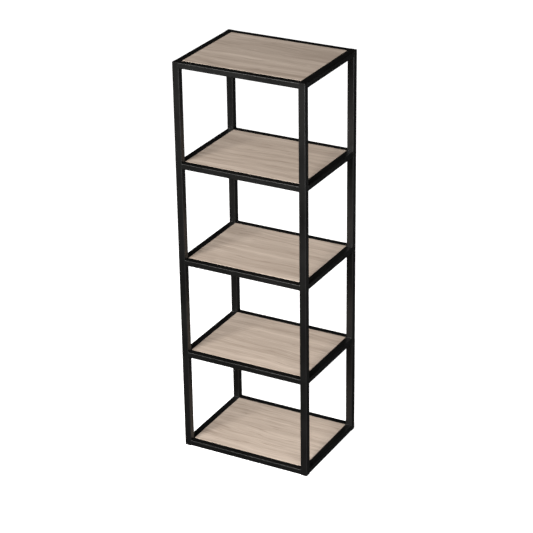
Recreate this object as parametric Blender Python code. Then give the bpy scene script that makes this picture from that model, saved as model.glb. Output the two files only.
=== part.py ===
"""A free-standing bathroom storage tower: a welded steel tube frame with five screwed-in shelf boards.

Metres, +Z up. The origin is on the floor, under the middle of the tower, and -Y is the front.
Every tube is a named object. Levels are numbered 1 to LEVELS from the floor up.
"""

import math

import bmesh
import bpy
from mathutils import Matrix, Vector

# Overall size
WIDTH = 0.400
DEPTH = 0.310
HEIGHT = 1.180
LEVELS = 5

# Steel tube. Posts are square, and rails have the posts' width but are a little lower.
POST_SIDE = 0.020
RAIL_HEIGHT = 0.0165
TUBE_WALL = 0.0015
TUBE_CORNER_RADIUS = 0.0020
CORNER_STEPS = 3

# Shelf boards
BOARD_THICKNESS = 0.012
BOARD_EDGE_RADIUS = 0.0005
BOARD_REVEAL = 0.0006

# Tabs welded to the side rails, which carry the boards
TAB_LENGTH = 0.022
TAB_REACH = 0.016
TAB_THICKNESS = 0.0020
TAB_FROM_END = 0.045
TAB_HOLE_RADIUS = 0.0023
TAB_HOLE_FROM_TIP = 0.007

# Pan-head screws that hold the boards down on the tabs
SCREW_SHANK_RADIUS = 0.00175
SCREW_HEAD_RADIUS = 0.0038
SCREW_HEAD_HEIGHT = 0.0016
SCREW_LENGTH = 0.011
SCREW_TIP_LENGTH = 0.0020
SCREW_RECESS_DEPTH = 0.0011
SCREW_RECESS_REACH = 0.0021
SCREW_RECESS_WIDTH = 0.0008
PILOT_EXTRA_DEPTH = 0.0010
ROUND_STEPS = 16

# Moulded glides under the posts and steel caps on top of them
GLIDE_FLANGE = 0.0010
GLIDE_CHAMFER = 0.0003
GLIDE_INSET = 0.0005
GLIDE_PLUG_LENGTH = 0.014
GLIDE_RIBS = 4
GLIDE_RIB_DEPTH = 0.0012
CAP_THICKNESS = 0.0015
CAP_ROUNDING = 0.0006
CAP_SPIGOT_LENGTH = 0.004

# Room between solids that touch, or nearly do
GAP = 0.0003
FIT_GAP = 0.0004
CUTTER_OVERRUN = 0.0010

# Worked out from the sizes above
SIDES_X = {"left": -1, "right": 1}
SIDES_Y = {"front": -1, "back": 1}
POST_X = (WIDTH - POST_SIDE) / 2
POST_Y = (DEPTH - POST_SIDE) / 2
POST_BOTTOM = GLIDE_FLANGE + GAP
POST_TOP = HEIGHT - CAP_THICKNESS - GAP
CROSS_RAIL_LENGTH = WIDTH - 2 * (POST_SIDE + GAP)
SIDE_RAIL_LENGTH = DEPTH - 2 * (POST_SIDE + GAP)
SCREW_DROP = BOARD_THICKNESS + TAB_THICKNESS + 2 * GAP + SCREW_HEAD_HEIGHT
LEVEL_DEPTH = max(RAIL_HEIGHT, SCREW_DROP)
LEVEL_PITCH = (HEIGHT - POST_BOTTOM - LEVEL_DEPTH) / (LEVELS - 1)
PLUG_SIDE = POST_SIDE - 2 * (TUBE_WALL + FIT_GAP)
PLUG_RADIUS = max(TUBE_CORNER_RADIUS - TUBE_WALL, GAP)
BOARD_WIDTH = WIDTH - 2 * (POST_SIDE + BOARD_REVEAL)
BOARD_DEPTH = DEPTH - 2 * (POST_SIDE + BOARD_REVEAL)
TAB_TOP = RAIL_HEIGHT / 2 - BOARD_THICKNESS - GAP
TAB_Y = SIDE_RAIL_LENGTH / 2 - TAB_FROM_END
SCREW_X = WIDTH / 2 - POST_SIDE - TAB_REACH + TAB_HOLE_FROM_TIP
PILOT_RADIUS = SCREW_SHANK_RADIUS + GAP
SCREW_BITE = SCREW_LENGTH - TAB_THICKNESS - GAP


def level_top(level):
    """Height of the rails' and the board's top face on a level."""
    return HEIGHT - (LEVELS - level) * LEVEL_PITCH


# Materials


def principled(name, color, roughness, metallic=0.0):
    """A Principled material. The colour is linear."""
    material = bpy.data.materials.new(name)
    material.use_nodes = True
    shader = material.node_tree.nodes["Principled BSDF"]
    shader.inputs["Base Color"].default_value = (*color, 1.0)
    shader.inputs["Roughness"].default_value = roughness
    shader.inputs["Metallic"].default_value = metallic
    material.diffuse_color = (*color, 1.0)
    return material


def make_materials():
    """One material for each finish."""
    return {
        "frame": principled("black_powder_coat", (0.012, 0.012, 0.011), 0.42),
        "board": principled("walnut_melamine", (0.42, 0.34, 0.27), 0.55),
        "glide": principled("black_moulded_plastic", (0.015, 0.015, 0.015), 0.6),
        "screw": principled("zinc_plated_steel", (0.60, 0.60, 0.58), 0.3, 1.0),
    }


# Shapes


def rounded_rectangle(width, height, radius):
    """Corner points, counter-clockwise, of a rectangle with round corners."""
    points = []
    for corner in range(4):
        turn = corner * math.pi / 2
        sign_x = 1 if corner in (0, 3) else -1
        sign_y = 1 if corner in (0, 1) else -1
        centre = Vector((sign_x * (width / 2 - radius), sign_y * (height / 2 - radius)))
        for step in range(CORNER_STEPS + 1):
            angle = turn + step / CORNER_STEPS * math.pi / 2
            points.append(centre + radius * Vector((math.cos(angle), math.sin(angle))))
    return points


def finished(mesh_name, bm):
    """Turns a bmesh into a mesh with its faces pointing out."""
    bmesh.ops.recalc_face_normals(bm, faces=bm.faces)
    mesh = bpy.data.meshes.new(mesh_name)
    bm.to_mesh(mesh)
    bm.free()
    mesh.shade_smooth()
    mesh.set_sharp_from_angle(angle=math.radians(30))
    return mesh


def tube_mesh(name, length, width, height):
    """A hollow tube along Z, centred, with round corners and open ends."""
    bm = bmesh.new()
    inner_radius = max(TUBE_CORNER_RADIUS - TUBE_WALL, GAP)
    outer = rounded_rectangle(width, height, TUBE_CORNER_RADIUS)
    inner = rounded_rectangle(width - 2 * TUBE_WALL, height - 2 * TUBE_WALL, inner_radius)
    rings = [[bm.verts.new((p.x, p.y, -length / 2)) for p in ring] for ring in (outer, inner)]
    count = len(outer)
    wall = []
    for i in range(count):
        j = (i + 1) % count
        wall.append(bm.faces.new((rings[0][i], rings[0][j], rings[1][j], rings[1][i])))
    grown = bmesh.ops.extrude_face_region(bm, geom=wall)
    moved = [item for item in grown["geom"] if isinstance(item, bmesh.types.BMVert)]
    bmesh.ops.translate(bm, verts=moved, vec=(0, 0, length))
    return finished(name, bm)


def stacked_mesh(name, sections):
    """A solid through square sections, each (height, side, corner radius), from the lowest up."""
    bm = bmesh.new()
    rings = []
    for z, side, radius in sections:
        outline = rounded_rectangle(side, side, radius)
        rings.append([bm.verts.new((p.x, p.y, z)) for p in outline])
    count = len(rings[0])
    for lower, upper in zip(rings, rings[1:]):
        for i in range(count):
            j = (i + 1) % count
            bm.faces.new((lower[i], lower[j], upper[j], upper[i]))
    bm.faces.new(reversed(rings[0]))
    bm.faces.new(rings[-1])
    return finished(name, bm)


def turned_mesh(name, profile):
    """A solid of revolution about Z. The profile is (radius, height) points, both ends on the axis."""
    bm = bmesh.new()
    verts = [bm.verts.new((radius, 0, z)) for radius, z in profile]
    edges = [bm.edges.new(pair) for pair in zip(verts, verts[1:])]
    bmesh.ops.spin(
        bm, geom=verts + edges, cent=(0, 0, 0), axis=(0, 0, 1), angle=math.tau, steps=ROUND_STEPS
    )
    bmesh.ops.remove_doubles(bm, verts=bm.verts, dist=1e-6)
    return finished(name, bm)


def box_mesh(name, size, centre=(0, 0, 0), edge_radius=0.0):
    """A box, with its edges rounded where edge_radius isn't zero."""
    bm = bmesh.new()
    place = Matrix.Translation(centre) @ Matrix.Diagonal((*size, 1))
    bmesh.ops.create_cube(bm, size=1, matrix=place)
    if edge_radius:
        bmesh.ops.bevel(bm, geom=bm.edges[:], offset=edge_radius, segments=2, profile=0.5, affect="EDGES")
    return finished(name, bm)


def drill_mesh(name, radius, bottom, top, x, y):
    """A plain cylinder, used to cut a round hole."""
    bm = bmesh.new()
    place = Matrix.Translation((x, y, (bottom + top) / 2))
    bmesh.ops.create_cone(
        bm, cap_ends=True, segments=ROUND_STEPS, radius1=radius, radius2=radius,
        depth=top - bottom, matrix=place,
    )
    return finished(name, bm)


def combined_mesh(name, base, joined=(), cut=()):
    """The base mesh with some meshes joined to it and others cut from it."""
    body = bpy.data.objects.new(name + "_blank", base)
    bpy.context.scene.collection.objects.link(body)
    helpers = []
    for operation, meshes in (("UNION", joined), ("DIFFERENCE", cut)):
        for mesh in meshes:
            helper = bpy.data.objects.new(mesh.name, mesh)
            bpy.context.scene.collection.objects.link(helper)
            helpers.append(helper)
            boolean = body.modifiers.new(mesh.name, "BOOLEAN")
            boolean.operation = operation
            boolean.object = helper
    graph = bpy.context.evaluated_depsgraph_get()
    result = bpy.data.meshes.new_from_object(body.evaluated_get(graph))
    result.name = name
    result.materials.clear()
    for used in [body, *helpers]:
        bpy.data.objects.remove(used)
    result.set_sharp_from_angle(angle=math.radians(30))
    return result


def place(name, mesh, material, location, rotation=(0, 0, 0), parent=None):
    """Puts a mesh into the scene as a named object."""
    if not mesh.materials:
        mesh.materials.append(material)
    piece = bpy.data.objects.new(name, mesh)
    bpy.context.scene.collection.objects.link(piece)
    piece.location = location
    piece.rotation_euler = rotation
    piece.parent = parent
    return piece


# Pieces


def make_posts(materials, parent):
    """Four square tubes that run from the glides to the caps."""
    mesh = tube_mesh("post", POST_TOP - POST_BOTTOM, POST_SIDE, POST_SIDE)
    middle = (POST_TOP + POST_BOTTOM) / 2
    for front, y in SIDES_Y.items():
        for side, x in SIDES_X.items():
            location = (x * POST_X, y * POST_Y, middle)
            place(f"post_{front}_{side}", mesh, materials["frame"], location, parent=parent)


def make_cross_rails(materials, parent):
    """Front and back rails, butted between two posts on every level."""
    mesh = tube_mesh("cross_rail", CROSS_RAIL_LENGTH, RAIL_HEIGHT, POST_SIDE)
    along_x = (0, math.pi / 2, 0)
    for level in range(1, LEVELS + 1):
        z = level_top(level) - RAIL_HEIGHT / 2
        for front, y in SIDES_Y.items():
            location = (0, y * POST_Y, z)
            place(f"rail_{front}_{level}", mesh, materials["frame"], location, along_x, parent)


def side_rail_mesh():
    """A side rail along Y with two drilled tabs welded to its inner side, which is +X."""
    tube = tube_mesh("side_rail_tube", SIDE_RAIL_LENGTH, POST_SIDE, RAIL_HEIGHT)
    tube.transform(Matrix.Rotation(math.pi / 2, 4, "X"))
    root = POST_SIDE / 2 - TUBE_WALL / 2
    tip = POST_SIDE / 2 + TAB_REACH
    tab_size = (tip - root, TAB_LENGTH, TAB_THICKNESS)
    tab_z = TAB_TOP - TAB_THICKNESS / 2
    hole_x = tip - TAB_HOLE_FROM_TIP
    tabs = []
    holes = []
    for number, y in enumerate((-TAB_Y, TAB_Y)):
        tabs.append(box_mesh(f"tab_{number}", tab_size, ((root + tip) / 2, y, tab_z)))
        bottom = TAB_TOP - TAB_THICKNESS - CUTTER_OVERRUN
        top = TAB_TOP + CUTTER_OVERRUN
        holes.append(drill_mesh(f"tab_drill_{number}", TAB_HOLE_RADIUS, bottom, top, hole_x, y))
    return combined_mesh("side_rail", tube, joined=tabs, cut=holes)


def make_side_rails(materials, parent):
    """Left and right rails, butted between a front and a back post on every level."""
    mesh = side_rail_mesh()
    for level in range(1, LEVELS + 1):
        z = level_top(level) - RAIL_HEIGHT / 2
        for side, x in SIDES_X.items():
            turn = 0 if x < 0 else math.pi
            location = (x * POST_X, 0, z)
            place(f"rail_{side}_{level}", mesh, materials["frame"], location, (0, 0, turn), parent)


def board_mesh():
    """A shelf board with its top at zero and four blind pilot holes in its underside."""
    size = (BOARD_WIDTH, BOARD_DEPTH, BOARD_THICKNESS)
    blank = box_mesh("board_blank", size, (0, 0, -BOARD_THICKNESS / 2), BOARD_EDGE_RADIUS)
    bottom = -BOARD_THICKNESS - CUTTER_OVERRUN
    top = -BOARD_THICKNESS + SCREW_BITE + PILOT_EXTRA_DEPTH
    drills = []
    for x in SIDES_X.values():
        for y in SIDES_Y.values():
            name = f"pilot_drill_{x}_{y}"
            drills.append(drill_mesh(name, PILOT_RADIUS, bottom, top, x * SCREW_X, y * TAB_Y))
    return combined_mesh("shelf_board", blank, cut=drills)


def make_boards(materials, parent):
    """Shelf boards, flush with the rails around them and resting on the tabs."""
    mesh = board_mesh()
    for level in range(1, LEVELS + 1):
        location = (0, 0, level_top(level))
        place(f"shelf_board_{level}", mesh, materials["board"], location, parent=parent)


def screw_mesh():
    """A pan-head screw with its tip up. Its head's bearing face is at zero."""
    dome = []
    for step in range(4):
        angle = step / 3 * math.pi / 2
        radius = SCREW_HEAD_RADIUS * math.sin(angle)
        dome.append((radius, -SCREW_HEAD_HEIGHT * (0.35 + 0.65 * math.cos(angle))))
    shank_top = SCREW_LENGTH - SCREW_TIP_LENGTH
    shank = [
        (SCREW_HEAD_RADIUS, 0),
        (SCREW_SHANK_RADIUS, 0),
        (SCREW_SHANK_RADIUS, shank_top),
        (0, SCREW_LENGTH),
    ]
    blank = turned_mesh("screw_blank", dome + shank)
    depth = SCREW_RECESS_DEPTH + CUTTER_OVERRUN
    centre = (0, 0, -SCREW_HEAD_HEIGHT + SCREW_RECESS_DEPTH - depth / 2)
    long_side, short_side = 2 * SCREW_RECESS_REACH, SCREW_RECESS_WIDTH
    slots = [
        box_mesh("recess_across", (long_side, short_side, depth), centre),
        box_mesh("recess_along", (short_side, long_side, depth), centre),
    ]
    return combined_mesh("board_screw", blank, cut=slots)


def make_screws(materials, parent):
    """Four screws on each level, up through the tabs into the board."""
    mesh = screw_mesh()
    for level in range(1, LEVELS + 1):
        bearing = level_top(level) - BOARD_THICKNESS - TAB_THICKNESS - 2 * GAP
        for front, y in SIDES_Y.items():
            for side, x in SIDES_X.items():
                name = f"screw_{level}_{front}_{side}"
                location = (x * SCREW_X, y * TAB_Y, bearing)
                place(name, mesh, materials["screw"], location, parent=parent)


def make_glides(materials, parent):
    """Moulded glides: a thin flange under each post, and a ribbed plug up inside the tube."""
    flange = POST_SIDE - 2 * GLIDE_INSET
    sections = [
        (0, flange - 2 * GLIDE_CHAMFER, TUBE_CORNER_RADIUS),
        (GLIDE_CHAMFER, flange, TUBE_CORNER_RADIUS),
        (GLIDE_FLANGE, flange, TUBE_CORNER_RADIUS),
    ]
    rib_pitch = GLIDE_PLUG_LENGTH / (2 * GLIDE_RIBS)
    for rib in range(2 * GLIDE_RIBS):
        side = PLUG_SIDE - (0 if rib % 2 else 2 * GLIDE_RIB_DEPTH)
        low = GLIDE_FLANGE + rib * rib_pitch
        sections.append((low, side, PLUG_RADIUS))
        sections.append((low + rib_pitch, side, PLUG_RADIUS))
    mesh = stacked_mesh("glide", sections)
    for front, y in SIDES_Y.items():
        for side, x in SIDES_X.items():
            location = (x * POST_X, y * POST_Y, 0)
            place(f"glide_{front}_{side}", mesh, materials["glide"], location, parent=parent)


def make_caps(materials, parent):
    """Steel caps that close the posts' tops, each with a spigot down inside the tube."""
    sections = [
        (-CAP_THICKNESS - CAP_SPIGOT_LENGTH, PLUG_SIDE, PLUG_RADIUS),
        (-CAP_THICKNESS, PLUG_SIDE, PLUG_RADIUS),
        (-CAP_THICKNESS, POST_SIDE, TUBE_CORNER_RADIUS),
        (-CAP_ROUNDING, POST_SIDE, TUBE_CORNER_RADIUS),
        (0, POST_SIDE - 2 * CAP_ROUNDING, TUBE_CORNER_RADIUS),
    ]
    mesh = stacked_mesh("cap", sections)
    for front, y in SIDES_Y.items():
        for side, x in SIDES_X.items():
            location = (x * POST_X, y * POST_Y, HEIGHT)
            place(f"cap_{front}_{side}", mesh, materials["frame"], location, parent=parent)


def main():
    for old in list(bpy.data.objects):
        bpy.data.objects.remove(old)
    tower = bpy.data.objects.new("storage_tower", None)
    bpy.context.scene.collection.objects.link(tower)
    materials = make_materials()
    make_posts(materials, tower)
    make_cross_rails(materials, tower)
    make_side_rails(materials, tower)
    make_boards(materials, tower)
    make_screws(materials, tower)
    make_glides(materials, tower)
    make_caps(materials, tower)


main()
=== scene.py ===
import math

import bmesh
import bpy
import numpy as np
from mathutils import Matrix


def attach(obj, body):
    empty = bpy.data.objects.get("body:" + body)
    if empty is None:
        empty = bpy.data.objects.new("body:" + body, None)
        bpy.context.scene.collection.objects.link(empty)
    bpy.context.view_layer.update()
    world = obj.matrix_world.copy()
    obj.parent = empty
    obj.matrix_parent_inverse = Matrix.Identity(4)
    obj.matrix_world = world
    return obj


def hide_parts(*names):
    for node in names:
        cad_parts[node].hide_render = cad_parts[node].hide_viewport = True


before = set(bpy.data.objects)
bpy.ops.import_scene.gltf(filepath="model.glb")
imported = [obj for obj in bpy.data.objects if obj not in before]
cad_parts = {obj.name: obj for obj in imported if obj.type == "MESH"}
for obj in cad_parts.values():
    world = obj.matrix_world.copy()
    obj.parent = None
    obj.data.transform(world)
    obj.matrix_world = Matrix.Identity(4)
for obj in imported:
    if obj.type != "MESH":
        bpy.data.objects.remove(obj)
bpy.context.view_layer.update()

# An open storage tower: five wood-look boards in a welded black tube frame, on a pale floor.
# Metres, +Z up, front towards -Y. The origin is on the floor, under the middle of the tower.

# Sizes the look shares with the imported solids
WIDTH, DEPTH, HEIGHT = 0.400, 0.310, 1.180
LEVELS = 5
POST_SIDE = 0.020
RAIL_HEIGHT = 0.0165
TUBE_RADIUS = 0.0020
GAP = 0.0003
GLIDE_FLANGE = 0.0010
BOARD_THICKNESS = 0.012
BOARD_REVEAL = 0.0006
TAB_LENGTH, TAB_REACH, TAB_THICKNESS = 0.022, 0.016, 0.0020
TAB_FROM_END = 0.045
TAB_HOLE_RADIUS, TAB_HOLE_FROM_TIP = 0.0023, 0.007
SCREW_LENGTH, SCREW_TIP = 0.011, 0.0020
SCREW_HEAD_RADIUS, SCREW_HEAD_HEIGHT = 0.0038, 0.0016
SCREW_SHANK_RADIUS = 0.00175

# Sizes of the finer work
TUBE_STEPS = 8
END_ROLL, END_ROLL_STEPS = 0.0006, 4
RAIL_BITE = 0.0002
BEAD_RADIUS, BEAD_INSET, BEAD_PROUD = 0.0008, 0.0010, 0.0002
BEAD_RIPPLE, BEAD_RIPPLE_PITCH = 0.10, 0.0014
BEAD_STEP, BEAD_SIDES = 0.0004, 10
BOARD_ARRIS, BOARD_CORNER, BOARD_FACE_INSET = 0.0005, 0.0010, 0.002
BAND_THICKNESS, BAND_GROOVE, BAND_GROOVE_WIDTH = 0.0010, 0.00008, 0.00012
TAB_CORNER = 0.0040
TAB_SHEARED_EDGE = 0.0002
TAB_STEPS = 96
RECESS_REACH, RECESS_HALF_WIDTH, RECESS_DEPTH = 0.0022, 0.00042, 0.0010
RECESS_EDGE, RECESS_END = 0.00012, 0.00025
HEAD_BEVEL = 0.00015
THREAD_PITCH, THREAD_DEPTH, THREAD_FADE = 0.0013, 0.00025, 0.001
TAB_BITE = 0.0005
SCREW_TURN_SEED = 7

# Surroundings
FLOOR_REACH, FLOOR_GLOW = 60.0, 0.96
ROOM_BRIGHT_WAY = (0.765, -0.436, -0.476)
ROOM_LOBE_POWER, ROOM_LOBE_STRENGTH = 2.0, 0.61
ROOM_LEAST_STRENGTH = 0.012
# Soft boxes: name, place, aim, width, height, watts, colour
SOFT_BOXES = (
    ("key", (-0.4, -3.5, 2.6), (0, 0, 0.5), 2.4, 1.6, 350.0, (1.0, 0.985, 0.965)),
    ("foot_fill", (1.0, -1.0, 0.8), (0.05, 0, 0), 0.7, 0.5, 10.0, (1.0, 0.99, 0.98)),
    ("left_fill", (-2.4, -0.9, 0.3), (0, 0, 0.5), 0.8, 0.6, 4.0, (1.0, 1.0, 1.0)),
    ("back_fill", (2.4, 0.9, 0.3), (0, 0, 0.5), 0.8, 0.6, 6.0, (0.97, 0.98, 1.0)),
)
CAMERA_PLACE = (2.36604, -4.33866, 2.87510)
CAMERA_RIGHT = (0.880387, 0.474072, -0.013195)
CAMERA_TOP = (-0.191146, 0.380159, 0.904954)
CAMERA_LENS, CAMERA_SENSOR = 130.43, 36.0

# Worked out from the sizes above
SIDES_X = {"left": -1, "right": 1}
SIDES_Y = {"front": -1, "back": 1}
POST_X, POST_Y = (WIDTH - POST_SIDE) / 2, (DEPTH - POST_SIDE) / 2
POST_BOTTOM = GLIDE_FLANGE + GAP
SCREW_DROP = BOARD_THICKNESS + TAB_THICKNESS + 2 * GAP + SCREW_HEAD_HEIGHT
PITCH = (HEIGHT - POST_BOTTOM - max(RAIL_HEIGHT, SCREW_DROP)) / (LEVELS - 1)
TAB_Y = (DEPTH - 2 * (POST_SIDE + GAP)) / 2 - TAB_FROM_END
SCREW_X = WIDTH / 2 - POST_SIDE - TAB_REACH + TAB_HOLE_FROM_TIP


def level_top(level):
    """Height of a level's rails and board."""
    return HEIGHT - (LEVELS - level) * PITCH


# Node trees


def node(tree, kind, inputs=None, **settings):
    """Adds a node, sets its properties, and fills its inputs with values or with other nodes' outputs."""
    made = tree.nodes.new(kind)
    for key, value in settings.items():
        setattr(made, key, value)
    for key, value in (inputs or {}).items():
        if isinstance(value, bpy.types.NodeSocket):
            tree.links.new(value, made.inputs[key])
        else:
            made.inputs[key].default_value = value
    return made


def noise(tree, vector, scale, detail=4.0, roughness=0.55):
    """Fractal noise of a vector, about 0.5 on average."""
    inputs = {"Vector": vector, "Scale": scale, "Detail": detail, "Roughness": roughness}
    return node(tree, "ShaderNodeTexNoise", inputs).outputs["Fac"]


def remap(tree, value, low, high, to_low, to_high):
    """Maps low..high to to_low..to_high, clamped."""
    inputs = {"Value": value, "From Min": low, "From Max": high, "To Min": to_low, "To Max": to_high}
    return node(tree, "ShaderNodeMapRange", inputs).outputs["Result"]


def math_node(tree, operation, a, b=0.0):
    """One arithmetic step."""
    return node(tree, "ShaderNodeMath", {0: a, 1: b}, operation=operation).outputs[0]


def scaled(tree, value, factor):
    """A value times a number."""
    return math_node(tree, "MULTIPLY", value, factor)


def line_at(tree, value, level, half_width):
    """1 where a value equals the level, falling to 0 at the half width on either side."""
    away = math_node(tree, "ABSOLUTE", math_node(tree, "SUBTRACT", value, level))
    return remap(tree, away, 0.0, half_width, 1.0, 0.0)


def stretched(tree, vector, scale):
    """The vector, times a different number along each axis."""
    made = node(tree, "ShaderNodeVectorMath", {0: vector, 1: scale}, operation="MULTIPLY")
    return made.outputs[0]


def blended(tree, factor, first, second):
    """A colour between two colours."""
    mix = node(tree, "ShaderNodeMix", {"Factor": factor}, data_type="RGBA")
    for socket, color in ((mix.inputs[6], first), (mix.inputs[7], second)):
        if isinstance(color, bpy.types.NodeSocket):
            tree.links.new(color, socket)
        else:
            socket.default_value = (*color, 1.0)
    return mix.outputs[2]


def new_material(name, **sockets):
    """A Principled material, its tree, its shader and the Object coordinates."""
    material = bpy.data.materials.new(name)
    material.use_nodes = True
    tree = material.node_tree
    shader = tree.nodes["Principled BSDF"]
    for key, value in sockets.items():
        shader.inputs[key.replace("_", " ")].default_value = value
    place = node(tree, "ShaderNodeTexCoord").outputs["Object"]
    return material, tree, shader, place


def set_bump(tree, shader, height, distance):
    """Raises and sinks the surface by up to the distance, in metres."""
    bump = node(tree, "ShaderNodeBump", {"Height": height, "Distance": distance, "Strength": 1.0})
    tree.links.new(bump.outputs["Normal"], shader.inputs["Normal"])


def powder_coat(name, dark, light):
    """Satin black powder coat: fine orange peel, a few dust nibs, and a gloss that drifts slightly."""
    material, tree, shader, place = new_material(name, Specular_IOR_Level=0.38)
    drift = noise(tree, place, 9.0)
    peel = noise(tree, place, 620.0, detail=2.0)
    nibs = remap(tree, noise(tree, place, 310.0, detail=1.0), 0.70, 0.80, 0.0, 1.0)
    tone = math_node(tree, "ADD", scaled(tree, drift, 0.7), scaled(tree, peel, 0.3))
    color = blended(tree, remap(tree, tone, 0.35, 0.65, 0.0, 1.0), dark, light)
    tree.links.new(color, shader.inputs["Base Color"])
    gloss = math_node(tree, "ADD", remap(tree, drift, 0.3, 0.7, 0.30, 0.38), scaled(tree, peel, 0.08))
    tree.links.new(gloss, shader.inputs["Roughness"])
    set_bump(tree, shader, math_node(tree, "ADD", peel, scaled(tree, nibs, 0.8)), 0.000025)
    return material


def wood_laminate():
    """Pale grey-brown wood print, with its grain along X: wavy bands, streaks, dark veins and pale lines.

    Each board has its own figure, because its height moves it to another part of the pattern."""
    material, tree, shader, place = new_material("oak_print", Specular_IOR_Level=0.32)
    spread = stretched(tree, place, (1.0, 1.0, 9.0))
    wander = noise(tree, stretched(tree, spread, (3.2, 7.0, 1.0)), 1.0, detail=3.0)
    parts = node(tree, "ShaderNodeSeparateXYZ", {0: spread})
    swing = scaled(tree, math_node(tree, "SUBTRACT", wander, 0.5), 0.055)
    across = math_node(tree, "ADD", parts.outputs["Y"], swing)
    warped = {"X": parts.outputs["X"], "Y": across, "Z": parts.outputs["Z"]}
    grain = node(tree, "ShaderNodeCombineXYZ", warped).outputs[0]
    bands = noise(tree, stretched(tree, grain, (1.6, 30.0, 1.0)), 1.0, detail=3.0)
    streaks = noise(tree, stretched(tree, grain, (7.0, 190.0, 1.0)), 1.0, detail=5.0, roughness=0.62)
    fibres = noise(tree, stretched(tree, grain, (45.0, 1500.0, 1.0)), 1.0, detail=3.0)
    veins = noise(tree, stretched(tree, grain, (2.4, 62.0, 1.0)), 1.0, detail=2.0)
    vein_lines = line_at(tree, veins, 0.56, 0.022)
    pale_lines = line_at(tree, veins, 0.44, 0.018)
    tone = scaled(tree, remap(tree, bands, 0.34, 0.66, 0.0, 1.0), 0.52)
    tone = math_node(tree, "ADD", tone, scaled(tree, remap(tree, streaks, 0.28, 0.72, 0.0, 1.0), 0.36))
    tone = math_node(tree, "ADD", tone, scaled(tree, fibres, 0.12))
    color = blended(tree, tone, (0.305, 0.241, 0.194), (0.585, 0.492, 0.415))
    color = blended(tree, scaled(tree, pale_lines, 0.40), color, (0.640, 0.550, 0.470))
    color = blended(tree, scaled(tree, vein_lines, 0.50), color, (0.240, 0.182, 0.142))
    tree.links.new(color, shader.inputs["Base Color"])
    tree.links.new(remap(tree, streaks, 0.3, 0.7, 0.70, 0.56), shader.inputs["Roughness"])
    pores = math_node(tree, "SUBTRACT", scaled(tree, fibres, 0.5), scaled(tree, vein_lines, 0.5))
    set_bump(tree, shader, pores, 0.00006)
    return material


def zinc_plate():
    """Bright zinc on steel, with turning marks and a faint yellow drift."""
    material, tree, shader, place = new_material("zinc_plate", Metallic=1.0)
    drift = noise(tree, place, 420.0)
    marks = noise(tree, stretched(tree, place, (1.0, 1.0, 9.0)), 2600.0, detail=2.0)
    color = blended(tree, drift, (0.56, 0.56, 0.55), (0.70, 0.68, 0.61))
    tree.links.new(color, shader.inputs["Base Color"])
    tree.links.new(remap(tree, marks, 0.3, 0.7, 0.20, 0.38), shader.inputs["Roughness"])
    set_bump(tree, shader, marks, 0.00001)
    return material


def moulded_plastic():
    """Black moulded plastic with a fine spark-eroded grain, scuffed a little paler here and there."""
    material, tree, shader, place = new_material("moulded_plastic", Specular_IOR_Level=0.4)
    scuffs = noise(tree, place, 140.0)
    grain = noise(tree, place, 1900.0, detail=2.0)
    scuffed = remap(tree, scuffs, 0.45, 0.75, 0.0, 1.0)
    color = blended(tree, scuffed, (0.012, 0.012, 0.012), (0.030, 0.029, 0.028))
    tree.links.new(color, shader.inputs["Base Color"])
    tree.links.new(remap(tree, grain, 0.3, 0.7, 0.52, 0.68), shader.inputs["Roughness"])
    set_bump(tree, shader, grain, 0.00002)
    return material


# Surfaces


def grid_faces(rows, columns, rows_closed=False):
    """Quads between neighbouring points of a grid whose last column joins its first."""
    row = np.arange(rows if rows_closed else rows - 1)[:, None]
    column = np.arange(columns)[None, :]
    up, along = (row + 1) % rows, (column + 1) % columns
    corners = (row * columns + column, row * columns + along, up * columns + along, up * columns + column)
    return np.stack(np.broadcast_arrays(*corners), axis=-1).reshape(-1, 4)


def piece(name, points, faces, material, replaced=(), normals=None):
    """A mesh that rides on the tower. Given normals shade it; otherwise edges over 35 degrees are sharp."""
    mesh = bpy.data.meshes.new(name)
    mesh.from_pydata(np.asarray(points).reshape(-1, 3).tolist(), [], [list(map(int, f)) for f in faces])
    if normals is None:
        bm = bmesh.new()
        bm.from_mesh(mesh)
        bmesh.ops.remove_doubles(bm, verts=bm.verts, dist=1e-7)
        bmesh.ops.recalc_face_normals(bm, faces=bm.faces)
        bm.to_mesh(mesh)
        bm.free()
    mesh.shade_smooth()
    if normals is None:
        mesh.set_sharp_from_angle(angle=math.radians(35))
    else:
        mesh.normals_split_custom_set_from_vertices(np.asarray(normals).reshape(-1, 3).tolist())
    mesh.materials.append(material)
    made = bpy.data.objects.new(name, mesh)
    bpy.context.scene.collection.objects.link(made)
    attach(made, "root")
    if replaced:
        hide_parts(*replaced)
    return made


def joined(parts):
    """Several (points, faces) as one."""
    points, faces, start = [], [], 0
    for part_points, part_faces in parts:
        part_points = np.asarray(part_points).reshape(-1, 3)
        points.append(part_points)
        faces.extend(np.asarray(part_faces) + start)
        start += len(part_points)
    return np.concatenate(points), faces


def rounded_outline(width, height, radius, steps):
    """A rectangle with round corners, counter-clockwise, as points and outward directions.

    A corner's point is the arc's centre plus the radius times (cos a, sin a), which is its direction."""
    quarter = np.linspace(0, math.pi / 2, steps + 1)
    angle = np.concatenate([quarter + turn * math.pi / 2 for turn in range(4)])
    out = np.stack([np.cos(angle), np.sin(angle)], axis=1)
    sign_x = np.repeat([1, -1, -1, 1], steps + 1)
    sign_y = np.repeat([1, 1, -1, -1], steps + 1)
    centre = np.stack([sign_x * (width / 2 - radius), sign_y * (height / 2 - radius)], axis=1)
    return centre + radius * out, out


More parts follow.
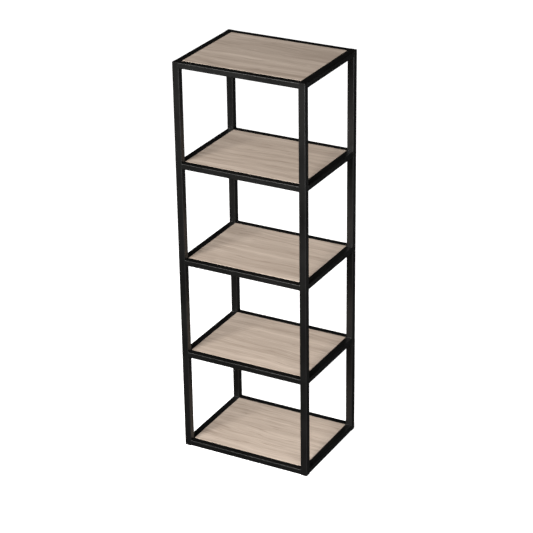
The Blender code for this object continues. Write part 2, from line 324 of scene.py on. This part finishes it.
def rolled_ends(length, radius):
    """Stations along a bar whose ends roll over, as (distance along, inset, tilt of the normal).

    At tilt a it is radius * (1 - cos a) in from the side and radius * (1 - sin a) short of the end."""
    tilt = np.linspace(0, math.pi / 2, END_ROLL_STEPS + 1)
    along = length / 2 - radius * (1 - np.sin(tilt))
    inset = radius * (1 - np.cos(tilt))
    far = np.stack([along, inset, tilt], axis=1)
    near = far[::-1] * (-1, 1, -1)
    return np.concatenate([near, far])


def bar(outline, out, stations, axis, centre):
    """An outline carried along an axis: (points, normals, faces), with both ends closed.

    A point is outline - inset * outward, and its normal is cos(tilt) * outward + sin(tilt) * axis.
    The outline's x and y take the next two axes in the order X, Y, Z, X."""
    along, inset, tilt = stations.T
    flat = outline[None] - inset[:, None, None] * out[None]
    points = np.empty((len(stations), len(outline), 3))
    normals = np.empty_like(points)
    points[..., axis] = along[:, None]
    normals[..., axis] = np.sin(tilt)[:, None]
    for step in (1, 2):
        points[..., (axis + step) % 3] = flat[..., step - 1]
        normals[..., (axis + step) % 3] = np.cos(tilt)[:, None] * out[None, :, step - 1]
    count = len(outline)
    faces = grid_faces(len(stations), count).tolist()
    faces.append(list(range(count))[::-1])
    faces.append(list(range((len(stations) - 1) * count, len(stations) * count)))
    return points + np.array(centre), normals, faces


# Pieces


def make_posts(paint):
    """Each post with its cap welded on and ground flush, so its top end rolls over without a seam."""
    outline, out = rounded_outline(POST_SIDE, POST_SIDE, TUBE_RADIUS, TUBE_STEPS)
    stations = rolled_ends(HEIGHT - POST_BOTTOM, END_ROLL)
    middle = (HEIGHT + POST_BOTTOM) / 2
    for front, y in SIDES_Y.items():
        for side, x in SIDES_X.items():
            points, normals, faces = bar(outline, out, stations, 2, (x * POST_X, y * POST_Y, middle))
            replaced = (f"post_{front}_{side}", f"cap_{front}_{side}")
            piece(f"tube_post_{front}_{side}", points, faces, paint, replaced, normals)


def make_cross_rails(paint):
    """Front and back rails, each run a hair into the posts at its ends."""
    outline, out = rounded_outline(POST_SIDE, RAIL_HEIGHT, TUBE_RADIUS, TUBE_STEPS)
    half = WIDTH / 2 - POST_SIDE + RAIL_BITE
    stations = np.array([(-half, 0, 0), (half, 0, 0)])
    for level in range(1, LEVELS + 1):
        for front, y in SIDES_Y.items():
            centre = (0, y * POST_Y, level_top(level) - RAIL_HEIGHT / 2)
            points, normals, faces = bar(outline, out, stations, 0, centre)
            name = f"rail_{front}_{level}"
            piece(f"tube_{name}", points, faces, paint, (name,), normals)


def make_side_rails(paint):
    """Left and right rails. Their tabs are separate pieces, as the real ones were before welding."""
    outline, out = rounded_outline(RAIL_HEIGHT, POST_SIDE, TUBE_RADIUS, TUBE_STEPS)
    half = DEPTH / 2 - POST_SIDE + RAIL_BITE
    stations = np.array([(-half, 0, 0), (half, 0, 0)])
    for level in range(1, LEVELS + 1):
        for side, x in SIDES_X.items():
            centre = (x * POST_X, 0, level_top(level) - RAIL_HEIGHT / 2)
            points, normals, faces = bar(outline, out, stations, 1, centre)
            name = f"rail_{side}_{level}"
            piece(f"tube_{name}", points, faces, paint, (name,), normals)


def bead_path(half_across, top, bottom):
    """A weld's route round a rail's end, in even steps: points, outward directions and distances walked."""
    height = top - bottom
    outline, out = rounded_outline(2 * half_across, height, TUBE_RADIUS, 6)
    outline = outline + (0, (top + bottom) / 2)
    ring = np.concatenate([outline, outline[:1]])
    turns = np.concatenate([out, out[:1]])
    walked = np.concatenate([[0], np.cumsum(np.linalg.norm(np.diff(ring, axis=0), axis=1))])
    even = np.arange(0, walked[-1], BEAD_STEP)
    points = np.stack([np.interp(even, walked, ring[:, i]) for i in (0, 1)], axis=1)
    ways = np.stack([np.interp(even, walked, turns[:, i]) for i in (0, 1)], axis=1)
    return points, ways / np.linalg.norm(ways, axis=1)[:, None], even


def weld_bead(level, seed):
    """One rippled bead round a rail's end, in the plane of the joint: (across, up, along) for each point.

    Its radius is r * (1 + ripple * sin(2 pi s / pitch) + a slow drift), s being the distance welded."""
    rng = np.random.default_rng(seed)
    top = RAIL_HEIGHT / 2 + (BEAD_PROUD if level < LEVELS else -BEAD_INSET)
    path, ways, walked = bead_path(POST_SIDE / 2 - BEAD_INSET, top, -RAIL_HEIGHT / 2 - BEAD_PROUD)
    around = np.linspace(0, 2 * math.pi, BEAD_SIDES, endpoint=False)
    share = walked / walked[-1] * 2 * math.pi
    drift = 0.05 * np.sin(share + rng.uniform(0, 6)) + 0.03 * np.sin(5 * share + rng.uniform(0, 6))
    ripple = BEAD_RIPPLE * np.sin(walked / BEAD_RIPPLE_PITCH * 2 * math.pi)
    radius = BEAD_RADIUS * (1 + ripple + drift)
    radial = radius[:, None] * np.cos(around)[None]
    points = np.empty((len(path), BEAD_SIDES, 3))
    points[..., 0] = path[:, None, 0] + radial * ways[:, None, 0]
    points[..., 1] = path[:, None, 1] + radial * ways[:, None, 1]
    points[..., 2] = radius[:, None] * np.sin(around)[None]
    return points


def make_welds(paint):
    """Small painted weld beads round both ends of every rail, four corners to a level."""
    for level in range(1, LEVELS + 1):
        middle = level_top(level) - RAIL_HEIGHT / 2
        parts = []
        for seed, (x, y) in enumerate((x, y) for x in (-1, 1) for y in (-1, 1)):
            across, up, along = np.moveaxis(weld_bead(level, 100 * level + seed), -1, 0)
            faces = grid_faces(*across.shape, rows_closed=True)
            end_x, end_y = x * (WIDTH / 2 - POST_SIDE), y * (DEPTH / 2 - POST_SIDE)
            parts.append((np.stack([end_x + along, y * POST_Y + across, middle + up], -1), faces))
            parts.append((np.stack([x * POST_X + across, end_y + along, middle + up], -1), faces))
        points, faces = joined(parts)
        piece(f"welds_{level}", points, faces, paint)


def flat_faces(points, normals, faces, inset):
    """Closes an upright bar's two ends with a four-cornered face each, inset from the sides.

    Each corner's arc fans in to the inset corner, so that the large face has no sliver across it."""
    rows, count, _ = points.shape
    steps = count // 4
    points, normals, faces = points.reshape(-1, 3), normals.reshape(-1, 3), faces[:-2]
    reach = abs(points[-count:, :2]).max(axis=0) - inset
    for first, up in ((0, -1), ((rows - 1) * count, 1)):
        start = len(points)
        quarters = ((1, 1), (-1, 1), (-1, -1), (1, -1))
        corners = [(x * reach[0], y * reach[1], points[first, 2]) for x, y in quarters]
        points = np.concatenate([points, corners])
        normals = np.concatenate([normals, [(0, 0, up)] * 4])
        made = [[start, start + 1, start + 2, start + 3]]
        for corner in range(4):
            arc = [first + corner * steps + step for step in range(steps)]
            made += [[near, far, start + corner] for near, far in zip(arc, arc[1:])]
            following = (corner + 1) % 4
            made.append([arc[-1], first + following * steps, start + following, start + corner])
        faces = faces + (made if up > 0 else [face[::-1] for face in made])
    return points, normals, faces


def make_boards(laminate):
    """Boards with a banded edge: flat faces, a hairline joint inside the band, and an eased arris.

    The section is carried round the board's outline, and both faces are closed flat."""
    width, depth = WIDTH - 2 * (POST_SIDE + BOARD_REVEAL), DEPTH - 2 * (POST_SIDE + BOARD_REVEAL)
    outline, out = rounded_outline(width, depth, BOARD_CORNER, 6)
    tilt = np.linspace(0, math.pi / 2, 5)
    arris = np.stack([-BOARD_ARRIS * (1 - np.sin(tilt)), BOARD_ARRIS * (1 - np.cos(tilt)), tilt], axis=1)
    flat = math.pi / 2
    groove = [(0, BAND_THICKNESS - BAND_GROOVE_WIDTH, flat), (-BAND_GROOVE, BAND_THICKNESS, flat)]
    groove.append((0, BAND_THICKNESS + BAND_GROOVE_WIDTH, flat))
    top = np.concatenate([arris, groove])
    bottom = top[::-1] * (-1, 1, -1) - (BOARD_THICKNESS, 0, 0)
    stations = np.concatenate([bottom, top])
    for level in range(1, LEVELS + 1):
        tube = bar(outline, out, stations, 2, (0, 0, level_top(level)))
        points, normals, faces = flat_faces(*tube, BOARD_FACE_INSET)
        name = f"shelf_board_{level}"
        piece(f"laminated_{name}", points, faces, laminate, (name,), normals)


def plate_with_hole(centre, half_x, half_y, corner, hole_x, top, bottom):
    """A flat plate with round corners and a round hole.

    At angle a round the hole, the section runs from the hole's wall to the plate's edge on the same ray,
    over the top and back underneath, with its corners broken by a small bevel."""
    angle = np.linspace(0, 2 * math.pi, TAB_STEPS, endpoint=False)
    ray = np.stack([np.cos(angle), np.sin(angle)], axis=1)
    hole = np.array([hole_x, 0.0])
    reach = np.full(TAB_STEPS, 1.0)
    for i, way in enumerate(ray):
        near, far = 0.0, 4 * max(half_x, half_y)
        for _ in range(40):
            middle = (near + far) / 2
            spot = np.abs(hole + middle * way) - (half_x - corner, half_y - corner)
            inside = np.linalg.norm(np.maximum(spot, 0)) + min(max(spot), 0) <= corner
            near, far = (middle, far) if inside else (near, middle)
        reach[i] = near
    e = TAB_SHEARED_EDGE
    section = [(0, e, top), (1, -e, top), (1, 0, top - e), (1, 0, bottom + e)]
    section += [(1, -e, bottom), (0, e, bottom), (0, 0, bottom + e), (0, 0, top - e)]
    rows = []
    for outer, shift, z in section:
        distance = (reach if outer else TAB_HOLE_RADIUS) + shift
        spot = np.array(centre) + hole + np.reshape(distance, (-1, 1)) * ray
        rows.append(np.column_stack([spot, np.full(TAB_STEPS, z)]))
    return np.array(rows), grid_faces(len(rows), TAB_STEPS, rows_closed=True)


def make_tabs(paint):
    """Sheared and drilled tabs, welded into the side rails, which carry the boards."""
    root = POST_SIDE - TAB_BITE
    length = TAB_REACH + TAB_BITE
    for level in range(1, LEVELS + 1):
        top = level_top(level) - BOARD_THICKNESS - GAP
        parts = []
        for x in (-1, 1):
            for y in (-1, 1):
                middle = x * (WIDTH / 2 - root - length / 2)
                hole_x = x * SCREW_X - middle
                place = (middle, y * TAB_Y)
                sizes = (length / 2, TAB_LENGTH / 2, TAB_CORNER, hole_x)
                parts.append(plate_with_hole(place, *sizes, top, top - TAB_THICKNESS))
        points, faces = joined(parts)
        piece(f"tabs_{level}", points, faces, paint)


def smooth_step(value, edge, softness):
    """1 where value is under the edge, 0 past it, with a smooth ramp between."""
    t = np.clip((edge + softness - value) / (2 * softness), 0, 1)
    return t * t * (3 - 2 * t)


def screw_surface():
    """A pan-head screw, head down, its bearing face at zero: a turned profile with two fields added.

    The head's face is a cosine dome less a cross: the deeper of two soft-edged bars at right angles. The
    shank's radius is a ramp along a helix, (z / pitch - a / 2 pi) modulo 1, faded out at both ends."""
    angle = np.linspace(0, 2 * math.pi, 80, endpoint=False)
    face = np.linspace(0.02, 1, 34)
    low = SCREW_HEAD_HEIGHT * (0.35 + 0.65 * np.cos(face * math.pi / 2))
    head = [(SCREW_HEAD_RADIUS * f, -z) for f, z in zip(face, low)]
    head += [(SCREW_HEAD_RADIUS, -HEAD_BEVEL), (SCREW_HEAD_RADIUS - HEAD_BEVEL, 0.0)]
    head += [(SCREW_SHANK_RADIUS, 0.0)]
    shank_end = SCREW_LENGTH - SCREW_TIP
    shank = [(SCREW_SHANK_RADIUS, z) for z in np.linspace(0.0003, shank_end, 40)]
    taper = (0.25, 0.5, 0.75, 1)
    tip = [(SCREW_SHANK_RADIUS * (1 - t) + 0.00002, shank_end + SCREW_TIP * t) for t in taper]
    radius, z = np.array(head + shank + tip).T
    x = radius[:, None] * np.cos(angle)
    y = radius[:, None] * np.sin(angle)
    thin_x, thin_y = (smooth_step(abs(v), RECESS_HALF_WIDTH, RECESS_EDGE) for v in (x, y))
    long_x, long_y = (smooth_step(abs(v), RECESS_REACH, RECESS_END) for v in (x, y))
    bar_x, bar_y = thin_y * long_x, thin_x * long_y
    height = z[:, None] + RECESS_DEPTH * np.maximum(bar_x, bar_y) * (z[:, None] < -0.0002)
    turn = (z[:, None] / THREAD_PITCH - angle / (2 * math.pi)) % 1
    fade = np.clip(z / THREAD_FADE, 0, 1) * np.clip((SCREW_LENGTH - z) / THREAD_FADE, 0, 1)
    cut = THREAD_DEPTH * fade[:, None] * np.abs(2 * turn - 1)
    shrink = np.where(radius[:, None] > 0, (radius[:, None] - cut) / radius[:, None], 1)
    shrink = np.where(z[:, None] > 0, np.maximum(shrink, 0.05), 1)
    points = np.stack([x * shrink, y * shrink, np.broadcast_to(height, x.shape)], axis=-1)
    count = len(angle)
    faces = grid_faces(len(radius), count).tolist()
    faces.append(list(range(count))[::-1])
    faces.append(list(range((len(radius) - 1) * count, len(radius) * count)))
    return points, faces


def make_screws(zinc):
    """Twenty screws, each driven home at its own angle."""
    surface, faces = screw_surface()
    rng = np.random.default_rng(SCREW_TURN_SEED)
    for level in range(1, LEVELS + 1):
        bearing = level_top(level) - BOARD_THICKNESS - TAB_THICKNESS - 2 * GAP
        for front, y in SIDES_Y.items():
            for side, x in SIDES_X.items():
                turn = rng.uniform(0, 2 * math.pi)
                cos, sin = math.cos(turn), math.sin(turn)
                spin = np.array([[cos, sin, 0], [-sin, cos, 0], [0, 0, 1]])
                points = surface @ spin + (x * SCREW_X, y * TAB_Y, bearing)
                name = f"screw_{level}_{front}_{side}"
                piece(f"turned_{name}", points, faces, zinc, (name,))


def finish_glides(plastic):
    """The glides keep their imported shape."""
    for front in SIDES_Y:
        for side in SIDES_X:
            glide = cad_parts[f"glide_{front}_{side}"]
            for slot in glide.material_slots:
                slot.material = plastic


# Surroundings


def make_floor():
    """A wide pale floor, seen mostly by its own glow. It stays out of reflections and bounced light."""
    material, _, shader, _ = new_material("pale_floor", Roughness=0.9, Specular_IOR_Level=0.1)
    shader.inputs["Base Color"].default_value = (0.80, 0.80, 0.80, 1.0)
    shader.inputs["Emission Color"].default_value = (1.0, 1.0, 1.0, 1.0)
    shader.inputs["Emission Strength"].default_value = FLOOR_GLOW
    mesh = bpy.data.meshes.new("floor")
    far = FLOOR_REACH
    corners = [(-far, -far, -GAP), (far, -far, -GAP), (far, far, -GAP), (-far, far, -GAP)]
    mesh.from_pydata(corners, [], [(0, 1, 2, 3)])
    mesh.materials.append(material)
    floor = bpy.data.objects.new("floor", mesh)
    bpy.context.scene.collection.objects.link(floor)
    floor.visible_glossy = False
    floor.visible_diffuse = False


def make_room():
    """The room's own soft light: bright from the front right and below, dim elsewhere.

    From each direction it is the squared cosine of the angle to the bright side, times a strength, plus a
    least strength. What is seen directly is plain and pale."""
    world = bpy.data.worlds.new("studio")
    world.use_nodes = True
    bpy.context.scene.world = world
    tree = world.node_tree
    tree.nodes.clear()
    way = node(tree, "ShaderNodeTexCoord").outputs["Generated"]
    facing = node(tree, "ShaderNodeVectorMath", {0: way, 1: ROOM_BRIGHT_WAY}, operation="DOT_PRODUCT")
    lobe = math_node(tree, "MAXIMUM", facing.outputs["Value"], 0.0)
    lobe = math_node(tree, "POWER", lobe, ROOM_LOBE_POWER)
    strength = math_node(tree, "ADD", scaled(tree, lobe, ROOM_LOBE_STRENGTH), ROOM_LEAST_STRENGTH)
    lit = node(tree, "ShaderNodeBackground", {"Color": (1.0, 0.99, 0.97, 1.0), "Strength": strength})
    seen = node(tree, "ShaderNodeBackground", {"Color": (1.0, 1.0, 1.0, 1.0), "Strength": 1.0})
    direct = node(tree, "ShaderNodeLightPath").outputs["Is Camera Ray"]
    mix = node(tree, "ShaderNodeMixShader", {0: direct, 1: lit.outputs[0], 2: seen.outputs[0]})
    node(tree, "ShaderNodeOutputWorld", {"Surface": mix.outputs[0]})


def soft_light(name, place, aim, width, height, watts, color):
    """A rectangular soft box, turned towards a point."""
    data = bpy.data.lights.new(name, "AREA")
    data.shape = "RECTANGLE"
    data.size = width
    data.size_y = height
    data.energy = watts
    data.color = color
    light = bpy.data.objects.new(name, data)
    bpy.context.scene.collection.objects.link(light)
    light.location = place
    way = np.array(aim) - np.array(place)
    across = np.cross(way, (0, 0, 1))
    across = across / np.linalg.norm(across)
    back = -way / np.linalg.norm(way)
    up = np.cross(back, across)
    columns = np.column_stack([across, up, back])
    light.rotation_euler = Matrix(columns.tolist()).to_euler()


def make_lights():
    """A large soft box high in front, one near the foot, and two weak low ones for the far sides."""
    for box in SOFT_BOXES:
        soft_light(*box)


def make_camera():
    """A long lens from the front right, above the top shelf, turned by its picture's right and top."""
    data = bpy.data.cameras.new("camera")
    data.sensor_width = CAMERA_SENSOR
    data.lens = CAMERA_LENS
    camera = bpy.data.objects.new("camera", data)
    bpy.context.scene.collection.objects.link(camera)
    camera.location = CAMERA_PLACE
    back = np.cross(CAMERA_RIGHT, CAMERA_TOP)
    columns = np.column_stack([CAMERA_RIGHT, CAMERA_TOP, back])
    camera.rotation_euler = Matrix(columns.tolist()).to_euler()
    bpy.context.scene.camera = camera
    bpy.context.scene.view_settings.view_transform = "Standard"


def main():
    make_camera()
    paint = powder_coat("black_powder_coat", (0.0018, 0.0018, 0.0017), (0.0042, 0.0041, 0.0039))
    laminate = wood_laminate()
    make_posts(paint)
    make_cross_rails(paint)
    make_side_rails(paint)
    make_welds(paint)
    make_boards(laminate)
    make_tabs(paint)
    make_screws(zinc_plate())
    finish_glides(moulded_plastic())
    make_floor()
    make_room()
    make_lights()


main()
